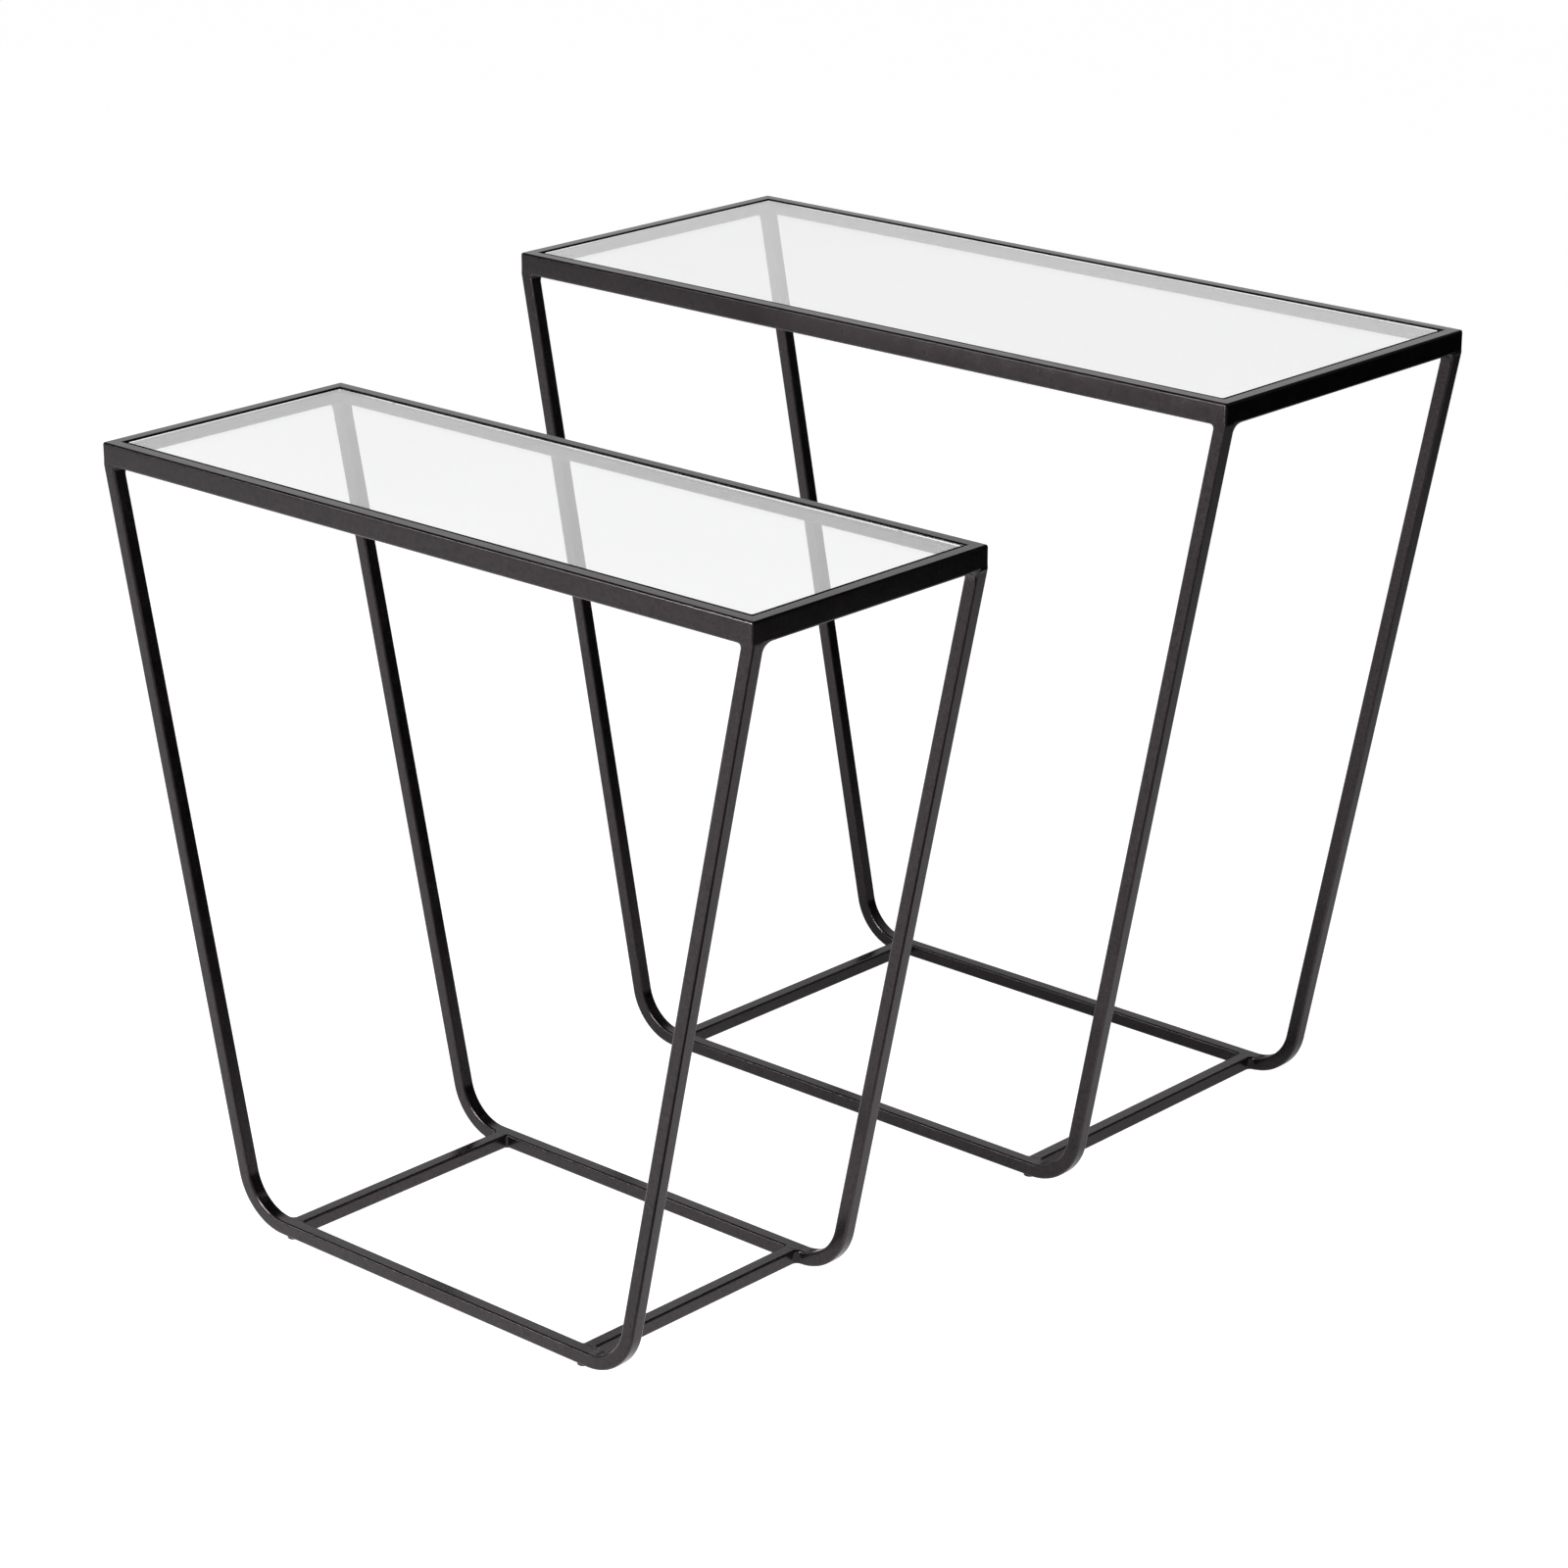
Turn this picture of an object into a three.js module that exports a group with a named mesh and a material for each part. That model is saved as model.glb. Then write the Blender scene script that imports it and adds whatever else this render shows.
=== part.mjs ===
// A pair of nesting side tables: two welded square-bar frames, each with a loose glass top.
// Units are millimetres, +Z is up, X runs along the tables' long sides and -Y is the front.
// The origin is on the floor, in the middle of the box around both tables.

import * as THREE from "three";

// ---- Driving dimensions -------------------------------------------------------------

const BAR = 9.5; // side of the square bar in the legs, floor rails and cross rails
const BEND_OUTER_RADIUS = 40; // outside radius of the bend between a leg and its floor rail
const BEND_STEPS = 10; // straight steps in each bend

const RAIL_WIDTH = 9.5; // top rail, seen from above
const RAIL_HEIGHT = 14.5; // top rail, seen from the side

const GLASS_THICKNESS = 5;
const GLASS_RECESS = 0.5; // glass top below the rim
const GLASS_EDGE_GAP = 1.5; // between the glass edge and the rail
const SEAT_GAP = 0.1; // between the glass and its bumpers

const BUMPER_DIAMETER = 4;
const BUMPER_HEIGHT = 1;
const BUMPER_FROM_END = 60; // from the end of the table's top
const BUMPER_SIDES = 16;

const LEDGE_WIDTH = 5;
const LEDGE_THICKNESS = 2;

const PAD_DIAMETER = 8; // floor pads sit under the joints of the floor rails and cross rails
const PAD_HEIGHT = 1.5;
const PAD_SIDES = 20;

// Each table: top length and depth, overall height, the length that its outer leg lines
// span at the floor rail's underside, and the distance between its cross rails' outer faces.
const LARGE = { name: "large", length: 600, depth: 250, height: 550, base: 390, crossSpan: 325 };
const SMALL = { name: "small", length: 550, depth: 200, height: 500, base: 338, crossSpan: 270 };

const TABLE_SPACING = 415; // centre to centre, with the small table standing in front

// ---- Materials ----------------------------------------------------------------------

const FINISHES = {
  steel: { color: 0x2b2827, roughness: 0.55, metalness: 0.6 },
  glass: { color: 0xe6efec, roughness: 0.03, metalness: 0, transparent: true, opacity: 0.35 },
  silicone: { color: 0xdfe3e2, roughness: 0.35, metalness: 0 },
  rubber: { color: 0x141414, roughness: 0.8, metalness: 0 },
};

const SIDES = ["front", "right", "back", "left"];
const CORNERS = [
  { name: "front_left", x: -1, y: -1 },
  { name: "front_right", x: 1, y: -1 },
  { name: "back_right", x: 1, y: 1 },
  { name: "back_left", x: -1, y: 1 },
];

const set = new THREE.Group();

function addPiece(table, name, geometry, finish) {
  const mesh = new THREE.Mesh(geometry, new THREE.MeshStandardMaterial(FINISHES[finish]));
  mesh.name = table.name + "_" + name;
  set.add(mesh);
  return mesh;
}

// ---- Shapes -------------------------------------------------------------------------

// The four mitred sides of a rectangular ring of flat bar lying in the XY plane.
function ringSides(length, depth, width) {
  const corner = (c, inset) =>
    new THREE.Vector2(c.x * (length / 2 - inset), c.y * (depth / 2 - inset));
  return SIDES.map((side, i) => {
    const from = CORNERS[i];
    const to = CORNERS[(i + 1) % CORNERS.length];
    return {
      side,
      shape: new THREE.Shape([corner(from, 0), corner(to, 0), corner(to, width), corner(from, width)]),
    };
  });
}

function extrude(shape, depth) {
  return new THREE.ExtrudeGeometry(shape, {
    depth,
    bevelEnabled: false,
    curveSegments: BEND_STEPS,
  });
}

// A leg, its bend, the floor rail, the other bend and the other leg, as one bent bar seen
// from the front. The shape's X is the table's X, and its Y is the height above the floor.
function legFrameShape(table) {
  const floor = PAD_HEIGHT;
  const top = table.height - RAIL_HEIGHT;
  const lean = Math.atan2(top - floor, (table.length - table.base) / 2);
  const arcX = table.base / 2 - BEND_OUTER_RADIUS * Math.tan(lean / 2);
  const arcY = floor + BEND_OUTER_RADIUS;
  const bendInnerRadius = BEND_OUTER_RADIUS - BAR;
  const outerTopX = table.length / 2;
  const innerTopX = outerTopX - BAR / Math.sin(lean);
  const down = -Math.PI / 2;

  const shape = new THREE.Shape();
  shape.moveTo(-arcX, floor);
  shape.absarc(arcX, arcY, BEND_OUTER_RADIUS, down, down + lean, false);
  shape.lineTo(outerTopX, top);
  shape.lineTo(innerTopX, top);
  shape.absarc(arcX, arcY, bendInnerRadius, down + lean, down, true);
  shape.absarc(-arcX, arcY, bendInnerRadius, down, down - lean, true);
  shape.lineTo(-innerTopX, top);
  shape.lineTo(-outerTopX, top);
  shape.absarc(-arcX, arcY, BEND_OUTER_RADIUS, down - lean, down, false);
  return shape;
}

function uprightCylinder(diameter, height, sides) {
  return new THREE.CylinderGeometry(diameter / 2, diameter / 2, height, sides).rotateX(Math.PI / 2);
}

// ---- One table ----------------------------------------------------------------------

function addTopFrame(table, centreY) {
  for (const { side, shape } of ringSides(table.length, table.depth, RAIL_WIDTH)) {
    const rail = addPiece(table, "top_rail_" + side, extrude(shape, RAIL_HEIGHT), "steel");
    rail.position.set(0, centreY, table.height - RAIL_HEIGHT);
  }
}

function addGlassAndSeat(table, centreY) {
  const openLength = table.length - 2 * RAIL_WIDTH;
  const openDepth = table.depth - 2 * RAIL_WIDTH;
  const glassBottom = table.height - GLASS_RECESS - GLASS_THICKNESS;
  const bumperTop = glassBottom - SEAT_GAP;
  const ledgeTop = bumperTop - BUMPER_HEIGHT;

  for (const { side, shape } of ringSides(openLength, openDepth, LEDGE_WIDTH)) {
    const ledge = addPiece(table, "ledge_" + side, extrude(shape, LEDGE_THICKNESS), "steel");
    ledge.position.set(0, centreY, ledgeTop - LEDGE_THICKNESS);
  }

  const bumperX = table.length / 2 - BUMPER_FROM_END;
  const bumperY = openDepth / 2 - LEDGE_WIDTH / 2;
  for (const corner of CORNERS) {
    const dot = uprightCylinder(BUMPER_DIAMETER, BUMPER_HEIGHT, BUMPER_SIDES);
    const bumper = addPiece(table, "bumper_" + corner.name, dot, "silicone");
    bumper.position.set(
      corner.x * bumperX,
      centreY + corner.y * bumperY,
      bumperTop - BUMPER_HEIGHT / 2,
    );
  }

  const pane = new THREE.BoxGeometry(
    openLength - 2 * GLASS_EDGE_GAP,
    openDepth - 2 * GLASS_EDGE_GAP,
    GLASS_THICKNESS,
  );
  const glass = addPiece(table, "glass_pane", pane, "glass");
  glass.position.set(0, centreY, glassBottom + GLASS_THICKNESS / 2);
}

function addLegFrames(table, centreY) {
  const shape = legFrameShape(table);
  const rearFaceY = { front: -table.depth / 2 + BAR, back: table.depth / 2 };
  for (const [side, y] of Object.entries(rearFaceY)) {
    const bar = extrude(shape, BAR).rotateX(Math.PI / 2);
    const frame = addPiece(table, "leg_frame_" + side, bar, "steel");
    frame.position.y = centreY + y;
  }
}

function addCrossRails(table, centreY) {
  for (const [side, sign] of [["left", -1], ["right", 1]]) {
    const bar = new THREE.BoxGeometry(BAR, table.depth - 2 * BAR, BAR);
    const rail = addPiece(table, "cross_rail_" + side, bar, "steel");
    rail.position.set((sign * (table.crossSpan - BAR)) / 2, centreY, PAD_HEIGHT + BAR / 2);
  }
}

function addFloorPads(table, centreY) {
  const padX = (table.crossSpan - BAR) / 2;
  const padY = (table.depth - BAR) / 2;
  for (const corner of CORNERS) {
    const disc = uprightCylinder(PAD_DIAMETER, PAD_HEIGHT, PAD_SIDES);
    const pad = addPiece(table, "floor_pad_" + corner.name, disc, "rubber");
    pad.position.set(corner.x * padX, centreY + corner.y * padY, PAD_HEIGHT / 2);
  }
}

function addTable(table, centreY) {
  addTopFrame(table, centreY);
  addGlassAndSeat(table, centreY);
  addLegFrames(table, centreY);
  addCrossRails(table, centreY);
  addFloorPads(table, centreY);
}

// ---- The set ------------------------------------------------------------------------

const overallDepth = LARGE.depth / 2 + TABLE_SPACING + SMALL.depth / 2;
const largeCentreY = (overallDepth - LARGE.depth) / 2;

addTable(LARGE, largeCentreY);
addTable(SMALL, largeCentreY - TABLE_SPACING);

export default set;
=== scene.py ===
"""Looks for the pair of nesting side tables: black square-bar frames with inset glass tops.

Every length is in metres. The tables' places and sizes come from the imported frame's boxes.
"""

import math

import bmesh
import bpy
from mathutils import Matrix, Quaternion, Vector


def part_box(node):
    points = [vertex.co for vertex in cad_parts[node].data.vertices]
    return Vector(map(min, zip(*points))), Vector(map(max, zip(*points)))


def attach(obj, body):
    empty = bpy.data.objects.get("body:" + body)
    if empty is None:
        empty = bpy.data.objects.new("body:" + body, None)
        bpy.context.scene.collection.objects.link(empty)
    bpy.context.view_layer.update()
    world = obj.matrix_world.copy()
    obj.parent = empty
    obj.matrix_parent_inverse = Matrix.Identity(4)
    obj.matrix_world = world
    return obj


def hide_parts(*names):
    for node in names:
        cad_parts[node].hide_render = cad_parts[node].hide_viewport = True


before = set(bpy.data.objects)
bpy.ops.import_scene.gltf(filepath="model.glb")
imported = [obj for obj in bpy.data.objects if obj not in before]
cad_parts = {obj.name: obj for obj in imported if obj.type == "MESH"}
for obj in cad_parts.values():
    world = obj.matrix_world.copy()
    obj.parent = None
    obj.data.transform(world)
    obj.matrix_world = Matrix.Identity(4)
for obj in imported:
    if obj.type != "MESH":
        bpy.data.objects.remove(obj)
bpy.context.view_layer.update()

MM = 0.001

# ---- Dimensions that the frame's boxes don't hold ------------------------------------

# Between the outer leg lines, at the floor rail's underside.
BASE_LENGTH = {"large": 390 * MM, "small": 338 * MM}
BEND_OUTER_RADIUS = 40 * MM
BEND_STEPS = 24

EDGE_RADIUS = 1.5 * MM  # rounded long edges of the bars and rails
EDGE_STEPS = 6
CORNER_STEPS = 4  # in half of a top frame corner
TOP_CORNER_RADIUS = EDGE_RADIUS * 1.2
LEG_TOP_LIFT = EDGE_RADIUS * 1.4  # carries a leg past the rail's rounded lower edge
STRIP_EDGE_RADIUS = 0.3 * MM
FLUSH_GAP = 0.03 * MM  # keeps faces that look flush from lying in one plane

SHARP_ANGLE = math.radians(35)

GLASS_ARRIS = 0.5 * MM
GLASS_CORNER_RADIUS = 2 * MM
GLASS_CORNER_STEPS = 5

# Turned parts, as (share of the radius, share of the height) pairs from the bottom up.
BUMPER_PROFILE = ((1, 0), (1, 0.45), (0.94, 0.72), (0.78, 0.92), (0.5, 1))
BUMPER_SIDES = 28
PAD_PROFILE = ((0.86, 0), (0.95, 0.1), (1, 0.3), (1, 1))
PAD_SIDES = 36

SIDES = {"front": (0, -1), "right": (1, 0), "back": (0, 1), "left": (-1, 0)}
CORNERS = {
    "front_left": (-1, -1),
    "front_right": (1, -1),
    "back_right": (1, 1),
    "back_left": (-1, 1),
}
SIDE_ENDS = {
    "front": ("front_left", "front_right"),
    "right": ("front_right", "back_right"),
    "back": ("back_right", "back_left"),
    "left": ("back_left", "front_left"),
}


# ---- Mesh building -------------------------------------------------------------------


def build_mesh(name, shells, material):
    """One object from closed shells. A shell is a list of rings of (point, painted edge highlight)
    pairs.
    """
    mesh = bpy.data.meshes.new(name)
    work = bmesh.new()
    highlight_mask = work.verts.layers.float.new("edge_highlight")
    for rings in shells:
        loops = []
        for ring in rings:
            loop = []
            for point, highlight_share in ring:
                vertex = work.verts.new(point)
                vertex[highlight_mask] = highlight_share
                loop.append(vertex)
            loops.append(loop)
        for near, far in zip(loops, loops[1:]):
            for i in range(len(near)):
                j = (i + 1) % len(near)
                work.faces.new((near[i], near[j], far[j], far[i]))
        work.faces.new(loops[0][::-1])
        work.faces.new(loops[-1])
    bmesh.ops.remove_doubles(work, verts=work.verts, dist=0.001 * MM)
    bmesh.ops.dissolve_degenerate(work, edges=work.edges, dist=0.001 * MM)
    bmesh.ops.recalc_face_normals(work, faces=work.faces)
    for face in work.faces:
        face.smooth = True
    for edge in work.edges:
        edge.smooth = edge.calc_face_angle(0) < SHARP_ANGLE
    work.to_mesh(mesh)
    work.free()
    mesh.materials.append(material)
    piece = bpy.data.objects.new(name, mesh)
    bpy.context.scene.collection.objects.link(piece)
    weighted = piece.modifiers.new("weighted_normals", "WEIGHTED_NORMAL")
    weighted.keep_sharp = True
    weighted.weight = 100
    return piece


def finish_piece(piece, body, slot, *nodes):
    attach(piece, body)
    if nodes:
        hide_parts(*nodes)


def rounded_section(width, height, radius):
    """A rectangle with rounded corners, centred, as (u, v, painted edge highlight), turning
    anticlockwise.
    """
    points = []
    for quarter in range(4):
        turn = quarter * math.pi / 2
        sign_u = (1, -1, -1, 1)[quarter]
        sign_v = (1, 1, -1, -1)[quarter]
        centre_u = sign_u * (width / 2 - radius)
        centre_v = sign_v * (height / 2 - radius)
        for step in range(EDGE_STEPS + 1):
            share = step / EDGE_STEPS
            angle = turn + share * math.pi / 2
            u = centre_u + radius * math.cos(angle)
            v = centre_v + radius * math.sin(angle)
            # painted highlight along each rounded edge, strongest at its middle
            points.append((u, v, math.sin(share * math.pi)))
    return points


# ---- Frame pieces --------------------------------------------------------------------


def mitred_rail(
    name, side, centre, length, depth, low, high, width, radius, corner_radius, material
):
    """One side of a mitred rectangular frame, from z low to high, with rounded long edges."""
    section = rounded_section(width, high - low, radius)
    normal = Vector((*SIDES[side], 0))
    middle = (low + high) / 2
    rings = []
    for end, corner_name in enumerate(SIDE_ENDS[side]):
        corner = Vector((*CORNERS[corner_name], 0))
        pivot = Vector(
            (
                centre.x + corner.x * (length / 2 - corner_radius),
                centre.y + corner.y * (depth / 2 - corner_radius),
                0,
            )
        )
        diagonal = corner.normalized()
        shares = [step / CORNER_STEPS for step in range(CORNER_STEPS + 1)]
        for share in shares if end == 0 else reversed(shares):
            direction = diagonal.slerp(normal, share)
            ring = []
            for u, v, highlight_share in section:
                inset = width / 2 - u
                if inset <= corner_radius:
                    place = pivot + direction * (corner_radius - inset)
                    # painted highlight, brighter towards the outer corner of the mitre
                    highlight_share = max(highlight_share, (1 - share) * (1 - inset / corner_radius))
                else:
                    place = pivot - corner * (inset - corner_radius)
                ring.append((Vector((place.x, place.y, middle + v)), highlight_share))
            rings.append(ring)
    return build_mesh(name, [rings], material)


def leg_path(table):
    """Stations along the bent bar's centre line: (x, z, outward normal x, outward normal z)."""
    half_bar = table["bar"] / 2
    arc_radius = BEND_OUTER_RADIUS - half_bar
    down = -math.pi / 2
    right = []
    for step in range(BEND_STEPS + 1):
        angle = down + table["lean"] * step / BEND_STEPS
        nx = math.cos(angle)
        nz = math.sin(angle)
        right.append((table["arc_x"] + arc_radius * nx, table["arc_z"] + arc_radius * nz, nx, nz))
    left = [(-x, z, -nx, nz) for x, z, nx, nz in reversed(right)]
    return left + right


def leg_frame(name, table, front_y, material):
    """The bent bar that makes two legs and the floor rail between them."""
    section = rounded_section(table["bar"], table["bar"], EDGE_RADIUS)
    middle_y = front_y + table["bar"] / 2
    stations = leg_path(table)

    def ring_at(x, z, nx, nz):
        return [
            (Vector((table["centre"].x + x + u * nx, middle_y + v, z + u * nz)), highlight_share)
            for u, v, highlight_share in section
        ]

    def top_rings(sign):
        """The bar cut level at its top, then carried up past the rail's rounded lower edge."""
        along = Vector((sign * math.cos(table["lean"]), 0, math.sin(table["lean"])))
        level = []
        for point, highlight_share in ring_at(*(stations[-1] if sign > 0 else stations[0])):
            slide = (table["leg_top"] - point.z) / along.z
            level.append((point + along * slide, highlight_share))
        middle = sum((point for point, _ in level), Vector()) / len(level)
        shrink = 1 - 2 * FLUSH_GAP / table["bar"]
        lift = Vector((0, 0, LEG_TOP_LIFT))
        raised = [(middle + (point - middle) * shrink + lift, highlight_share) for point, highlight_share in level]
        return [level, raised]

    rings = top_rings(-1)[::-1]
    rings += [ring_at(*station) for station in stations]
    rings += top_rings(1)
    return build_mesh(name, [rings], material)


def straight_bar(name, start, end, width, height, radius, material):
    """A level bar with rounded long edges between two points on its centre line."""
    along = (end - start).normalized()
    across = Vector((0, 0, 1)).cross(along)
    section = rounded_section(width, height, radius)
    rings = [
        [(point + across * u + Vector((0, 0, v)), highlight_share) for u, v, highlight_share in section]
        for point in (start, end)
    ]
    return build_mesh(name, [rings], material)


def turned_shell(centre, profile, sides):
    """Rings of a turned solid about a vertical axis, from (radius, z) pairs."""
    return [
        [
            (
                Vector(
                    (
                        centre.x + radius * math.cos(math.tau * i / sides),
                        centre.y + radius * math.sin(math.tau * i / sides),
                        z,
                    )
                ),
                0,
            )
            for i in range(sides)
        ]
        for radius, z in profile
    ]


# ---- Welds ---------------------------------------------------------------------------

FILLET_STEPS = 8
FILLET_STATIONS = 9
FILLET_END_STEPS = 4
FILLET_ROOT = 0.4 * MM
TOP_FILLET_X = 3.8 * MM  # between a leg and the long rail over it
TOP_FILLET_Y = 8.0 * MM  # between a leg and the short rail over it
BASE_FILLET_OUTER = 4.5 * MM
BASE_FILLET_INNER = 2.0 * MM
RIPPLE_SHARE = 0.04
RIPPLE_PITCH = 1.6 * MM
BEAD_STEPS = 8
BEAD_STATIONS = 17
BEAD_RIPPLE_SHARE = 0.12
BEAD_END_SHARE = 0.6  # of the width, at a bead's two ends
# painted highlight on a weld bead's crest, as a share of the edge highlight
BEAD_CREST_HIGHLIGHT = 0.55
BEAD_INSET = 1.6 * EDGE_RADIUS  # how much shorter a bead is than its bar is wide
END_BEAD_WIDTH = 4.5 * MM
END_BEAD_HEIGHT = 0.2 * MM
BASE_BEAD_WIDTH = 4.0 * MM
BASE_BEAD_HEIGHT = 0.18 * MM


def fillet_stations(width):
    """(distance along the fillet, how far its surface has fallen back), round the bars' edges."""
    ends = []
    for step in range(FILLET_END_STEPS):
        angle = step / FILLET_END_STEPS * math.pi / 2
        ends.append((EDGE_RADIUS * (1 - math.cos(angle)), EDGE_RADIUS * (1 - math.sin(angle))))
    middle = width - 2 * EDGE_RADIUS
    full = [
        (EDGE_RADIUS + middle * i / (FILLET_STATIONS - 1), 0) for i in range(FILLET_STATIONS)
    ]
    return ends + full + [(width - place, fallen) for place, fallen in reversed(ends)]


def fillet_shell(corner, first, second, width, size):
    """A concave weld fillet in the angle between two faces, centred along the width vector.

    Its ends are rounded as the bars' edges are, so it runs on from them.
    """
    rings = []
    for place, fallen in fillet_stations(width.length):
        ripple = 1 + RIPPLE_SHARE * math.sin(math.tau * place / RIPPLE_PITCH)
        station = corner + width.normalized() * (place - width.length / 2)
        station -= (first + second) * fallen
        ring = [
            (station - (first + second) * FILLET_ROOT, 0),
            (station + first * size - second * FILLET_ROOT, 0),
        ]
        for step in range(FILLET_STEPS + 1):
            turn = step / FILLET_STEPS
            offset = first * (1 - turn) ** 2 + second * turn**2
            ring.append((station + offset * size * ripple, 0))
        ring.append((station + second * size - first * FILLET_ROOT, 0))
        rings.append(ring)
    return rings


def bead_shell(place_at, outward, span, width, height):
    """A low weld bead. place_at(across) gives the surface point at a distance across the bead."""
    rings = []
    for station in range(BEAD_STATIONS):
        share = station / (BEAD_STATIONS - 1)
        wave = math.sin(math.tau * share * span.length / RIPPLE_PITCH)
        ripple = 1 + BEAD_RIPPLE_SHARE * wave
        fullness = math.sin(min(1, 4 * min(share, 1 - share)) * math.pi / 2)
        spread = width * (BEAD_END_SHARE + (1 - BEAD_END_SHARE) * fullness)
        ring = []
        for step in range(BEAD_STEPS + 1):
            across = (step / BEAD_STEPS - 0.5) * spread
            swell = math.cos(across / width * math.pi) ** 2 * height * fullness * ripple
            point = place_at(across) + span * (share - 0.5) + outward * (swell - FLUSH_GAP)
            # painted highlight, strongest where the bead swells highest
            ring.append((point, BEAD_CREST_HIGHLIGHT * swell / height))
        for step in (BEAD_STEPS, 0):
            across = (step / BEAD_STEPS - 0.5) * width * 0.5
            ring.append((place_at(across) + span * (share - 0.5) - outward * FILLET_ROOT, 0))
        rings.append(ring)
    return rings


def top_weld(name, table, corner, material):
    """Where a leg meets the top frame: two fillets, and a bead on the back right end face."""
    sx, sy = corner
    top = table["leg_top"]
    lean = table["lean"]
    leg_down = Vector((-sx * math.cos(lean), 0, -math.sin(lean)))
    bar = table["bar"]
    slant_bar = bar / math.sin(lean)
    end_x = table["centre"].x + sx * table["length"] / 2
    side_y = table["centre"].y + sy * table["depth"] / 2
    middle_y = side_y - sy * bar / 2
    flush_width = bar - 2 * FLUSH_GAP
    along_y = fillet_shell(
        Vector((end_x - sx * slant_bar, middle_y, top)),
        Vector((-sx, 0, 0)),
        leg_down,
        Vector((0, flush_width, 0)),
        TOP_FILLET_X,
    )
    along_x = fillet_shell(
        Vector((end_x - sx * slant_bar / 2, side_y - sy * bar, top)),
        Vector((0, -sy, 0)),
        leg_down,
        Vector((flush_width, 0, 0)),
        TOP_FILLET_Y,
    )

    shells = [along_y, along_x]

    def end_face(across):
        if across > 0:
            return Vector((end_x, middle_y, top + across))
        return Vector((end_x, middle_y, top)) - leg_down * across

    if corner == CORNERS["back_right"]:
        span = Vector((0, bar - BEAD_INSET, 0))
        shells.append(
            bead_shell(end_face, Vector((sx, 0, 0)), span, END_BEAD_WIDTH, END_BEAD_HEIGHT)
        )
    return build_mesh(name, shells, material)


def base_weld(name, table, side_x, side_y, material):
    """Where a cross rail meets a floor rail: a fillet on each side and a low bead on top."""
    bar = table["bar"]
    centre = table["centre"]
    inner_y = centre.y + side_y * (table["depth"] / 2 - bar)
    rail_x = centre.x + side_x * (table["cross_half"] - bar / 2)
    upper = table["floor"] + bar
    shells = [
        fillet_shell(
            Vector((rail_x + hand * bar / 2, inner_y, upper - bar / 2)),
            Vector((hand, 0, 0)),
            Vector((0, -side_y, 0)),
            Vector((0, 0, bar - 2 * FLUSH_GAP)),
            BASE_FILLET_OUTER if hand == side_x else BASE_FILLET_INNER,
        )
        for hand in (-1, 1)
    ]
    bead = bead_shell(
        lambda across: Vector((rail_x, inner_y - side_y * across, upper)),
        Vector((0, 0, 1)),
        Vector((bar - BEAD_INSET, 0, 0)),
        BASE_BEAD_WIDTH,
        BASE_BEAD_HEIGHT,
    )
    return build_mesh(name, [*shells, bead], material)


# ---- Materials -----------------------------------------------------------------------

COAT_DARK = 0.005
COAT_MIDDLE = 0.008
COAT_LIGHT = 0.013
# painted highlight: the lighter colour given to rounded edges and weld crests
COAT_EDGE_HIGHLIGHT = 0.04
COAT_SPECULAR = 0.47
COAT_SHEEN = (1.0, 0.86, 0.9)  # the coat's highlights are faintly warm
COAT_SHEEN_STOPS = ((0.38, 0.58), (0.5, 0.84), (0.62, 1.0))  # (speckle, share of the sheen)
COAT_ROUGHNESS = (0.17, 0.25)
CLOUD_SHARE = 0.55
GRAIN_SHARE = 0.45
TONE_LOW = 0.34
TONE_MIDDLE = 0.5
TONE_HIGH = 0.66


class Nodes:
    """A small helper that adds and links shader nodes."""

    def __init__(self, tree):
        self.tree = tree

    def add(self, kind, **settings):
        node = self.tree.nodes.new(kind)
        for key, value in settings.items():
            setattr(node, key, value)
        return node

    def link(self, output, target):
        self.tree.links.new(output, target)


def new_material(name):
    material = bpy.data.materials.new(name)
    material.use_nodes = True
    nodes = Nodes(material.node_tree)
    shader = material.node_tree.nodes["Principled BSDF"]
    return material, nodes, shader


def ramp(nodes, source, stops):
    """A colour ramp on a value, from (position, colour) stops."""
    node = nodes.add("ShaderNodeValToRGB")
    elements = node.color_ramp.elements
    elements[0].position, elements[0].color = stops[0]
    elements[1].position, elements[1].color = stops[-1]
    for position, colour in stops[1:-1]:
        element = elements.new(position)
        element.color = colour
    nodes.link(source, node.inputs["Fac"])
    return node.outputs["Color"]


def grey(level):
    return (level, level, level, 1)


def coat(level):
    """The coat's faint purple-brown cast at a given darkness."""
    return (level * 1.2, level, level * 1.07, 1)


def sheen(level):
    return tuple(level * channel for channel in COAT_SHEEN) + (1,)


def noise(nodes, place, scale, detail, roughness=0.5):
    node = nodes.add("ShaderNodeTexNoise")
    node.inputs["Scale"].default_value = scale
    node.inputs["Detail"].default_value = detail
    node.inputs["Roughness"].default_value = roughness
    nodes.link(place, node.inputs["Vector"])
    return node.outputs["Fac"]


def map_range(nodes, value, from_min, from_max, to_min, to_max, smooth=False):
    node = nodes.add("ShaderNodeMapRange")
    if smooth:
        node.interpolation_type = "SMOOTHSTEP"
    node.inputs["From Min"].default_value = from_min
    node.inputs["From Max"].default_value = from_max
    node.inputs["To Min"].default_value = to_min
    node.inputs["To Max"].default_value = to_max
    nodes.link(value, node.inputs["Value"])
    return node.outputs["Result"]


def arithmetic(nodes, operation, first, second):
    node = nodes.add("ShaderNodeMath", operation=operation)
    for value, socket in zip((first, second), node.inputs):
        if isinstance(value, (int, float)):
            socket.default_value = value
        else:
            nodes.link(value, socket)
    return node.outputs["Value"]


def dot(nodes, place, axis):
    node = nodes.add("ShaderNodeVectorMath", operation="DOT_PRODUCT")
    nodes.link(place, node.inputs[0])
    node.inputs[1].default_value = axis
    return node.outputs["Value"]


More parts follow.
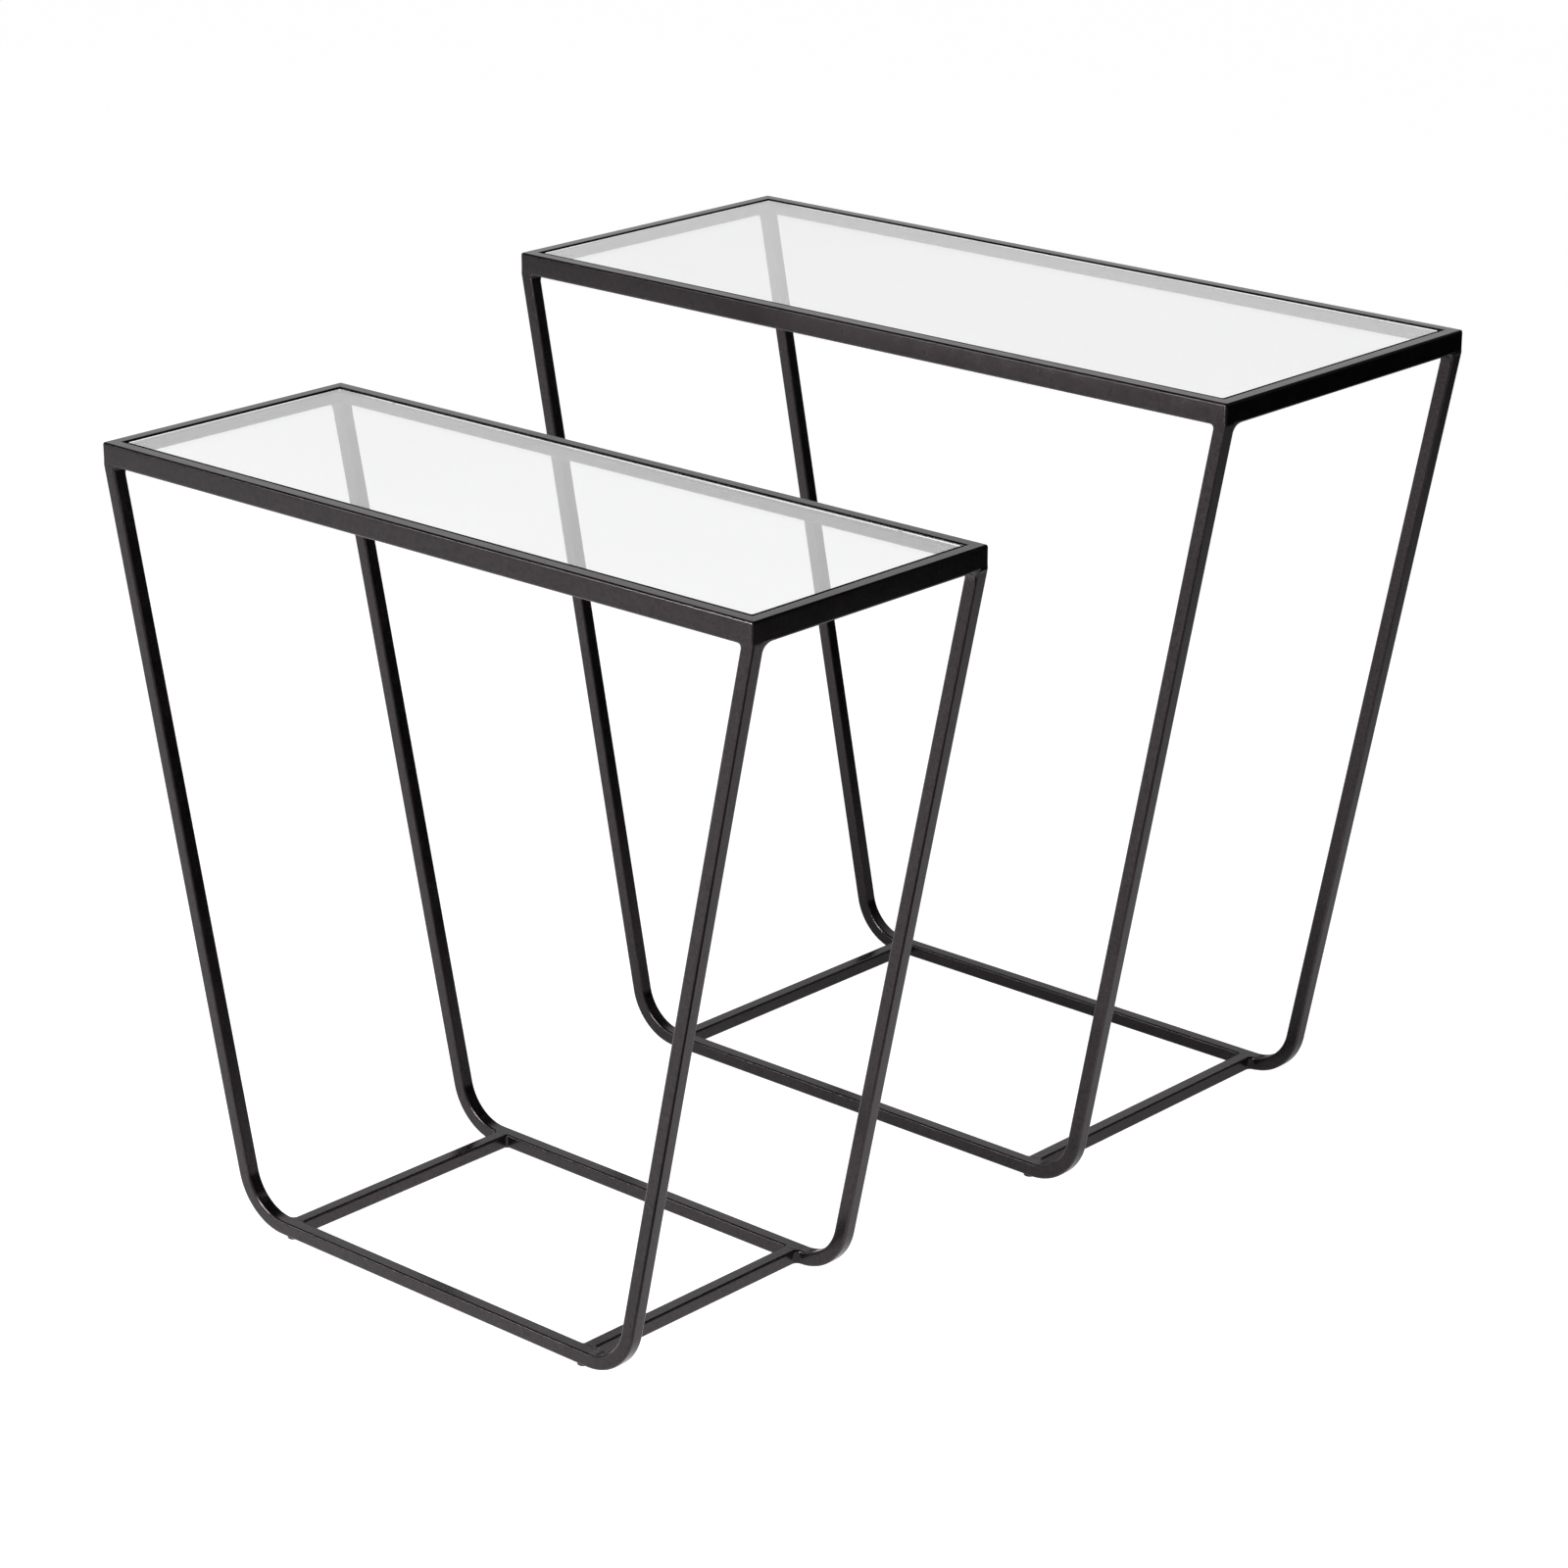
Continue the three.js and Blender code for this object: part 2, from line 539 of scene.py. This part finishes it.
def bump(nodes, shader, height, strength, distance):
    node = nodes.add("ShaderNodeBump")
    node.inputs["Strength"].default_value = strength
    node.inputs["Distance"].default_value = distance
    nodes.link(height, node.inputs["Height"])
    nodes.link(node.outputs["Normal"], shader.inputs["Normal"])


def steel_material():
    """Semi-matt black coat on steel: cloudy tone, fine grain, orange peel, and a painted highlight
    that lightens the edges.
    """
    material, nodes, shader = new_material("blackened_steel")
    place = nodes.add("ShaderNodeTexCoord").outputs["Object"]

    cloud = noise(nodes, place, 70, 5, 0.6)
    grain = noise(nodes, place, 620, 3, 0.7)
    cloud_part = arithmetic(nodes, "MULTIPLY", cloud, CLOUD_SHARE)
    grain_part = arithmetic(nodes, "MULTIPLY", grain, GRAIN_SHARE)
    tone = arithmetic(nodes, "ADD", cloud_part, grain_part)
    colours = [
        (TONE_LOW, coat(COAT_DARK)),
        (TONE_MIDDLE, coat(COAT_MIDDLE)),
        (TONE_HIGH, coat(COAT_LIGHT)),
    ]
    colour = ramp(nodes, tone, colours)
    # painted highlight: edges and bead crests are mixed towards a lighter colour, in patches
    highlight_mask = nodes.add("ShaderNodeAttribute", attribute_name="edge_highlight").outputs["Fac"]
    patches = map_range(nodes, noise(nodes, place, 45, 4), 0.3, 0.7, 0.5, 1.0)
    edge_mix = nodes.add("ShaderNodeMix", data_type="RGBA")
    edge_mix.inputs["B"].default_value = coat(COAT_EDGE_HIGHLIGHT)
    nodes.link(arithmetic(nodes, "MULTIPLY", highlight_mask, patches), edge_mix.inputs["Factor"])
    nodes.link(colour, edge_mix.inputs["A"])
    nodes.link(edge_mix.outputs["Result"], shader.inputs["Base Color"])

    roughness = map_range(nodes, tone, TONE_LOW, TONE_HIGH, *COAT_ROUGHNESS)
    nodes.link(roughness, shader.inputs["Roughness"])
    bump(nodes, shader, noise(nodes, place, 1300, 3), 0.25, 0.05 * MM)
    shader.inputs["Specular IOR Level"].default_value = COAT_SPECULAR
    speckle = noise(nodes, place, 480, 4, 0.75)
    shine = ramp(nodes, speckle, [(stop, sheen(share)) for stop, share in COAT_SHEEN_STOPS])
    nodes.link(shine, shader.inputs["Specular Tint"])
    return material


def glass_material(name, tint, roughness):
    material, nodes, shader = new_material(name)
    place = nodes.add("ShaderNodeTexCoord").outputs["Object"]
    darker = tuple(channel * 0.985 for channel in tint[:3]) + (1,)
    colour = ramp(nodes, noise(nodes, place, 7, 2), [(0.3, darker), (0.7, tint)])
    nodes.link(colour, shader.inputs["Base Color"])
    shader.inputs["Roughness"].default_value = roughness
    shader.inputs["IOR"].default_value = 1.52
    shader.inputs["Transmission Weight"].default_value = 1.0
    shader.inputs["Coat Weight"].default_value = 1.0
    shader.inputs["Coat Roughness"].default_value = roughness
    return material


def rubber_material():
    material, nodes, shader = new_material("black_rubber")
    place = nodes.add("ShaderNodeTexCoord").outputs["Object"]
    grain = noise(nodes, place, 900, 2)
    colour = ramp(nodes, grain, [(0.3, grey(0.010)), (0.7, grey(0.022))])
    nodes.link(colour, shader.inputs["Base Color"])
    shader.inputs["Roughness"].default_value = 0.8
    bump(nodes, shader, grain, 0.3, 0.08 * MM)
    return material


def silicone_material():
    material, nodes, shader = new_material("clear_silicone")
    place = nodes.add("ShaderNodeTexCoord").outputs["Object"]
    cloud = noise(nodes, place, 500, 2)
    colour = ramp(nodes, cloud, [(0.3, grey(0.72)), (0.7, grey(0.85))])
    nodes.link(colour, shader.inputs["Base Color"])
    shader.inputs["Roughness"].default_value = 0.25
    shader.inputs["IOR"].default_value = 1.41
    shader.inputs["Transmission Weight"].default_value = 0.85
    return material


STEEL = steel_material()
GLASS = glass_material("clear_glass", (0.885, 0.895, 0.89, 1), 0.0)
GLASS_EDGE = glass_material("glass_edge", (0.36, 0.46, 0.43, 1), 0.12)
RUBBER = rubber_material()
SILICONE = silicone_material()


# ---- One table -----------------------------------------------------------------------


def measure_table(name):
    """The table's sizes and place, from its CAD boxes."""
    front_low, front_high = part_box(f"{name}_top_rail_front")
    back_low, back_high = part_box(f"{name}_top_rail_back")
    leg_low, leg_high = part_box(f"{name}_leg_frame_front")
    cross_low, cross_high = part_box(f"{name}_cross_rail_right")
    length = front_high.x - front_low.x
    depth = back_high.y - front_low.y
    half_base = BASE_LENGTH[name] / 2
    lean = math.atan2(leg_high.z - leg_low.z, length / 2 - half_base)
    return {
        "name": name,
        "centre": Vector(((front_low.x + front_high.x) / 2, (front_low.y + back_high.y) / 2, 0)),
        "length": length,
        "depth": depth,
        "rail_width": front_high.y - front_low.y,
        "rim": front_high.z,
        "leg_top": leg_high.z,
        "floor": leg_low.z,
        "bar": leg_high.y - leg_low.y,
        "lean": lean,
        "arc_x": half_base - BEND_OUTER_RADIUS * math.tan(lean / 2),
        "arc_z": leg_low.z + BEND_OUTER_RADIUS,
        "cross_half": cross_high.x,
    }


def build_top_frame(table):
    name = table["name"]
    for side in SIDES:
        node = f"{name}_top_rail_{side}"
        rail = mitred_rail(
            f"{node}_bar",
            side,
            table["centre"],
            table["length"],
            table["depth"],
            table["leg_top"],
            table["rim"],
            table["rail_width"],
            EDGE_RADIUS,
            TOP_CORNER_RADIUS,
            STEEL,
        )
        finish_piece(rail, f"{name}_table", "blackened_steel", node)


def build_ledges(table):
    name = table["name"]
    low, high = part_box(f"{name}_ledge_front")
    width = high.y - low.y
    for side in SIDES:
        node = f"{name}_ledge_{side}"
        strip = mitred_rail(
            f"{node}_strip",
            side,
            table["centre"],
            table["length"] - 2 * table["rail_width"],
            table["depth"] - 2 * table["rail_width"],
            low.z,
            high.z,
            width,
            STRIP_EDGE_RADIUS,
            STRIP_EDGE_RADIUS,
            STEEL,
        )
        finish_piece(strip, f"{name}_table", "blackened_steel", node)


def build_leg_frames(table):
    name = table["name"]
    for side in ("front", "back"):
        node = f"{name}_leg_frame_{side}"
        low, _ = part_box(node)
        bar = leg_frame(f"{node}_bar", table, low.y, STEEL)
        finish_piece(bar, f"{name}_table", "blackened_steel", node)


def build_cross_rails(table):
    name = table["name"]
    for side in ("left", "right"):
        node = f"{name}_cross_rail_{side}"
        low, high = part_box(node)
        middle = (low + high) / 2
        width = high.x - low.x
        height = high.z - low.z
        into_weld = EDGE_RADIUS
        start = Vector((middle.x, low.y - into_weld, middle.z))
        end = Vector((middle.x, high.y + into_weld, middle.z))
        bar = straight_bar(f"{node}_bar", start, end, width, height, EDGE_RADIUS, STEEL)
        finish_piece(bar, f"{name}_table", "blackened_steel", node)


def build_welds(table):
    name = table["name"]
    for corner_name, corner in CORNERS.items():
        top = top_weld(f"{name}_top_weld_{corner_name}", table, corner, STEEL)
        finish_piece(top, f"{name}_table", "blackened_steel")
        base = base_weld(f"{name}_base_weld_{corner_name}", table, *corner, STEEL)
        finish_piece(base, f"{name}_table", "blackened_steel")


def rounded_outline(centre, half_x, half_y, radius, z):
    """A level rectangle with rounded corners, as a ring of points."""
    ring = []
    for quarter, (sx, sy) in enumerate(((1, 1), (-1, 1), (-1, -1), (1, -1))):
        for step in range(GLASS_CORNER_STEPS + 1):
            angle = (quarter + step / GLASS_CORNER_STEPS) * math.pi / 2
            x = centre.x + sx * (half_x - radius) + radius * math.cos(angle)
            y = centre.y + sy * (half_y - radius) + radius * math.sin(angle)
            ring.append((Vector((x, y, z)), 0))
    return ring


def build_glass(table):
    """A float glass pane with flat polished edges, small arrises and eased corners."""
    name = table["name"]
    node = f"{name}_glass_pane"
    low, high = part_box(node)
    half_x = (high.x - low.x) / 2
    half_y = (high.y - low.y) / 2
    levels = [
        (GLASS_ARRIS, low.z),
        (0, low.z + GLASS_ARRIS),
        (0, high.z - GLASS_ARRIS),
        (GLASS_ARRIS, high.z),
    ]
    rings = [
        rounded_outline(
            table["centre"], half_x - inset, half_y - inset, GLASS_CORNER_RADIUS - inset, z
        )
        for inset, z in levels
    ]
    pane = build_mesh(f"{node}_polished", [rings], GLASS)
    pane.data.materials.append(GLASS_EDGE)
    for face in pane.data.polygons:
        is_flat = abs(face.normal.z) > 0.9
        face.use_smooth = False
        face.material_index = 0 if is_flat else 1
    finish_piece(pane, f"{name}_glass", "clear_glass", node)


def build_turned(table, node, suffix, profile, sides, material, slot):
    """A small turned part that fills its CAD node's box."""
    low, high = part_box(node)
    radius = (high.x - low.x) / 2
    height = high.z - low.z
    rings = [(radius * across, low.z + height * up) for across, up in profile]
    shell = turned_shell((low + high) / 2, rings, sides)
    piece = build_mesh(f"{node}_{suffix}", [shell], material)
    finish_piece(piece, f"{table['name']}_table", slot, node)


def build_small_parts(table):
    for corner_name in CORNERS:
        bumper = f"{table['name']}_bumper_{corner_name}"
        build_turned(
            table, bumper, "dot", BUMPER_PROFILE, BUMPER_SIDES, SILICONE, "clear_silicone"
        )
        pad = f"{table['name']}_floor_pad_{corner_name}"
        build_turned(table, pad, "disc", PAD_PROFILE, PAD_SIDES, RUBBER, "black_rubber")


for table_name in ("large", "small"):
    table_sizes = measure_table(table_name)
    build_top_frame(table_sizes)
    build_ledges(table_sizes)
    build_leg_frames(table_sizes)
    build_cross_rails(table_sizes)
    build_welds(table_sizes)
    build_glass(table_sizes)
    build_small_parts(table_sizes)


# ---- Camera --------------------------------------------------------------------------

CAMERA_PLACE = Vector((1.8207, -1.9966, 1.2258))
CAMERA_AZIMUTH = math.radians(42.255)  # turned from +Y towards -X
CAMERA_DOWN = math.radians(19.75)
LENS = 101.26

camera_data = bpy.data.cameras.new("camera")
camera_data.sensor_width = 36
camera_data.lens = LENS
camera_data.clip_end = 100
camera = bpy.data.objects.new("camera", camera_data)
bpy.context.scene.collection.objects.link(camera)
camera.location = CAMERA_PLACE
look = Vector(
    (
        -math.sin(CAMERA_AZIMUTH) * math.cos(CAMERA_DOWN),
        math.cos(CAMERA_AZIMUTH) * math.cos(CAMERA_DOWN),
        -math.sin(CAMERA_DOWN),
    )
)
camera.rotation_mode = "QUATERNION"
camera.rotation_quaternion = look.to_track_quat("-Z", "Y")
bpy.context.scene.camera = camera


# ---- Studio --------------------------------------------------------------------------

FLOOR_HALF = 20.0
BACKDROP_RADIUS = 18.0
BACKDROP_HEIGHT = 18.0
BACKDROP_SIDES = 64
SURROUND_GLOW = 0.99  # of the floor and the backdrop
BOUNCE_HALF = 4.0
BOUNCE_CENTRE = Vector((-0.65, -0.85, 0))
BOUNCE_NEAR = 0.8
BOUNCE_FAR = 2.9
BOUNCE_LEVEL = 1.3
BOUNCE_FAR_LEVEL = 0.01
DIM_ALONG = Vector((0.67, -0.74, 0))  # the floor is dimmer in a lane towards the camera
DIM_ACROSS = Vector((0.74, 0.67, 0))
DIM_OFFSET = 0.13
DIM_HALF_WIDTH = (0.2, 0.45)  # where the lane starts to fade and where it has gone
DIM_BEGIN = (0.3, 0.5)
DIM_SHARE = 0.95
DIM_REAR = 0.62  # and under the large table, towards the left
DIM_REAR_Y = (-0.35, 0.35)
DIM_REAR_X = (0.1, 0.35)
SCRIM_RADIUS = 1.6
SCRIM_LOW = 0.2
SCRIM_HALF = 0.45
SCRIM_HALF_SHARE = 0.6  # of the full level, at that height
SCRIM_FULL = 0.9
SCRIM_FADE = 1.28
SCRIM_HIGH = 1.5
SCRIM_SIDES = 36
REAR_SCRIM_TURNS = (-20, 200)  # degrees from +X
FRONT_SCRIM_TURNS = (-80, -10)
FRONT_SCRIM_MIDDLE = Vector((0.707, -0.707, 0))
FRONT_SCRIM_FADE = (0.72, 0.88)  # as cosines of the angle from the middle
SCRIM_LEVEL = 0.88
SHADE_SIDE = Vector((0.94, 0.34, 0))
SHADE_FULL = 0.7  # as a cosine of the angle from that side
SCRIM_SHADED = 0.1  # shares of the level that are left on the shaded side
WORLD_SHADED = 0.15


def plane(name, half, material):
    mesh = bpy.data.meshes.new(name)
    corners = [(-half, -half, 0), (half, -half, 0), (half, half, 0), (-half, half, 0)]
    mesh.from_pydata(corners, [], [(0, 1, 2, 3)])
    mesh.materials.append(material)
    flat = bpy.data.objects.new(name, mesh)
    bpy.context.scene.collection.objects.link(flat)
    return flat


def pale_material(name):
    material, _, shader = new_material(name)
    shader.inputs["Base Color"].default_value = grey(0.3)
    shader.inputs["Roughness"].default_value = 0.9
    shader.inputs["Specular IOR Level"].default_value = 0.1
    shader.inputs["Emission Color"].default_value = grey(1)
    shader.inputs["Emission Strength"].default_value = SURROUND_GLOW
    return material


def build_floor():
    """The pale floor. Its reflection comes from the bounce card, which fades with distance."""
    floor = plane("floor", FLOOR_HALF, pale_material("pale_floor"))
    floor.visible_glossy = False
    floor.visible_diffuse = False


def curved_sheet(name, radius, low, high, turns, sides, material):
    """An upright sheet curved round the origin, between two angles in degrees from +X."""
    start, end = (math.radians(turn) for turn in turns)
    angles = [start + (end - start) * i / sides for i in range(sides + 1)]
    arc = [Vector((math.cos(angle), math.sin(angle), 0)) * radius for angle in angles]
    points = [p + Vector((0, 0, z)) for z in (low, high) for p in arc]
    row = len(arc)
    faces = [(i, i + 1, i + 1 + row, i + row) for i in range(sides)]
    mesh = bpy.data.meshes.new(name)
    mesh.from_pydata(points, [], faces)
    mesh.materials.append(material)
    sheet = bpy.data.objects.new(name, mesh)
    bpy.context.scene.collection.objects.link(sheet)
    sheet.visible_diffuse = False
    return sheet


def build_backdrop():
    """A pale wall far round the floor, which closes the view above the horizon."""
    wall = curved_sheet(
        "backdrop",
        BACKDROP_RADIUS,
        0,
        BACKDROP_HEIGHT,
        (0, 360),
        BACKDROP_SIDES,
        pale_material("pale_backdrop"),
    )
    wall.visible_glossy = False
    wall.visible_shadow = False


def lit_material(name, level_from_place):
    """A studio surface with a brightness of its own, worked out from the place on it."""
    material, nodes, shader = new_material(name)
    place = nodes.add("ShaderNodeTexCoord").outputs["Object"]
    shader.inputs["Base Color"].default_value = grey(0)
    shader.inputs["Specular IOR Level"].default_value = 0
    shader.inputs["Emission Color"].default_value = grey(1)
    nodes.link(level_from_place(nodes, place), shader.inputs["Emission Strength"])
    return material


def only_for_reflections(card):
    card.visible_camera = False
    card.visible_transmission = False
    card.visible_shadow = False


def build_bounce_card():
    """The lit stretch of floor round the tables, as the steel sees it."""

    def level(nodes, place):
        away = nodes.add("ShaderNodeVectorMath", operation="DISTANCE")
        nodes.link(place, away.inputs[0])
        away.inputs[1].default_value = BOUNCE_CENTRE
        lit = map_range(
            nodes,
            away.outputs["Value"],
            BOUNCE_NEAR,
            BOUNCE_FAR,
            BOUNCE_LEVEL,
            BOUNCE_FAR_LEVEL,
            smooth=True,
        )
        across = arithmetic(nodes, "SUBTRACT", dot(nodes, place, DIM_ACROSS), DIM_OFFSET)
        from_middle = arithmetic(nodes, "ABSOLUTE", across, 0)
        inside = map_range(nodes, from_middle, *DIM_HALF_WIDTH, DIM_SHARE, 0.0, smooth=True)
        along = dot(nodes, place, DIM_ALONG)
        begun = map_range(nodes, along, *DIM_BEGIN, 0.0, 1.0, smooth=True)
        lane = arithmetic(nodes, "SUBTRACT", 1.0, arithmetic(nodes, "MULTIPLY", inside, begun))
        split = nodes.add("ShaderNodeSeparateXYZ")
        nodes.link(place, split.inputs["Vector"])
        rear = map_range(nodes, split.outputs["Y"], *DIM_REAR_Y, 0.0, DIM_REAR, smooth=True)
        left = map_range(nodes, split.outputs["X"], *DIM_REAR_X, 1.0, 0.0, smooth=True)
        behind = arithmetic(nodes, "SUBTRACT", 1.0, arithmetic(nodes, "MULTIPLY", rear, left))
        dim = arithmetic(nodes, "MULTIPLY", lane, behind)
        return arithmetic(nodes, "MULTIPLY", lit, dim)

    only_for_reflections(plane("bounce_card", BOUNCE_HALF, lit_material("bounce_card", level)))


def shade_share(nodes, direction, lit, shaded):
    """A level that falls from lit to shaded towards the dark side of the studio."""
    turned = dot(nodes, direction, SHADE_SIDE)
    return map_range(nodes, turned, 0.0, SHADE_FULL, lit, shaded, smooth=True)


def build_scrim(name, turns, level_from_side):
    """Pale cloth curving round the tables, which the glass and the upper faces reflect."""

    def level(nodes, place):
        split = nodes.add("ShaderNodeSeparateXYZ")
        nodes.link(place, split.inputs["Vector"])
        height = split.outputs["Z"]
        rest_share = 1 - SCRIM_HALF_SHARE
        first = map_range(
            nodes, height, SCRIM_LOW, SCRIM_HALF, 0.0, SCRIM_HALF_SHARE, smooth=True
        )
        rest = map_range(nodes, height, SCRIM_HALF, SCRIM_FULL, 0.0, rest_share, smooth=True)
        rise = arithmetic(nodes, "ADD", first, rest)
        fall = map_range(nodes, height, SCRIM_FADE, SCRIM_HIGH, 1.0, 0.0, smooth=True)
        outward = nodes.add("ShaderNodeVectorMath", operation="NORMALIZE")
        nodes.link(place, outward.inputs[0])
        side = level_from_side(nodes, outward.outputs["Vector"])
        return arithmetic(nodes, "MULTIPLY", arithmetic(nodes, "MULTIPLY", rise, fall), side)

    only_for_reflections(
        curved_sheet(
            name, SCRIM_RADIUS, SCRIM_LOW, SCRIM_HIGH, turns, SCRIM_SIDES, lit_material(name, level)
        )
    )


def rear_scrim_side(nodes, outward):
    return shade_share(nodes, outward, SCRIM_LEVEL, SCRIM_LEVEL * SCRIM_SHADED)


def front_scrim_side(nodes, outward):
    """Full level in the middle of the cloth, and none at its ends."""
    middle = dot(nodes, outward, FRONT_SCRIM_MIDDLE)
    return map_range(nodes, middle, *FRONT_SCRIM_FADE, 0.0, SCRIM_LEVEL, smooth=True)


def build_world():
    """A dim studio surround, darker to the right and below the horizon."""
    world = bpy.data.worlds.new("studio")
    world.use_nodes = True
    bpy.context.scene.world = world
    nodes = Nodes(world.node_tree)
    background = world.node_tree.nodes["Background"]
    direction = nodes.add("ShaderNodeTexCoord").outputs["Generated"]
    split = nodes.add("ShaderNodeSeparateXYZ")
    nodes.link(direction, split.inputs["Vector"])
    height = map_range(nodes, split.outputs["Z"], -1, 1, 0, 1)
    stops = [(0.0, grey(0.02)), (0.50, grey(0.02)), (0.56, grey(0.045)), (1.0, grey(0.025))]
    nodes.link(ramp(nodes, height, stops), background.inputs["Color"])
    nodes.link(shade_share(nodes, direction, 1.0, WORLD_SHADED), background.inputs["Strength"])


def add_softbox(name, place, target, width, height, power, roll=0):
    """A lit panel facing its target, turned about its own axis by roll degrees."""
    light = bpy.data.lights.new(name, "AREA")
    light.shape = "RECTANGLE"
    light.size = width
    light.size_y = height
    light.energy = power
    holder = bpy.data.objects.new(name, light)
    bpy.context.scene.collection.objects.link(holder)
    holder.location = place
    holder.rotation_mode = "QUATERNION"
    facing = (Vector(target) - Vector(place)).to_track_quat("-Z", "Y")
    holder.rotation_quaternion = facing @ Quaternion((0, 0, 1), math.radians(roll))
    holder.visible_camera = False
    holder.visible_transmission = False
    return holder


build_floor()
build_backdrop()
build_bounce_card()
build_scrim("rear_scrim", REAR_SCRIM_TURNS, rear_scrim_side)
build_scrim("front_scrim", FRONT_SCRIM_TURNS, front_scrim_side)
build_world()
add_softbox("key_left", (-1.95, -2.5, 1.1), (0, -0.1, 0.4), width=0.9, height=0.5, power=18)
strip = add_softbox(
    "bend_strip",
    (-0.145, -1.175, 0.8),
    (-0.17, -0.2, 0.04),
    width=0.67,
    height=0.3,
    power=38,
    roll=-18,
)
strip.visible_diffuse = False  # it only draws the bright arcs on the bends' edges

bpy.context.scene.view_settings.view_transform = "Standard"
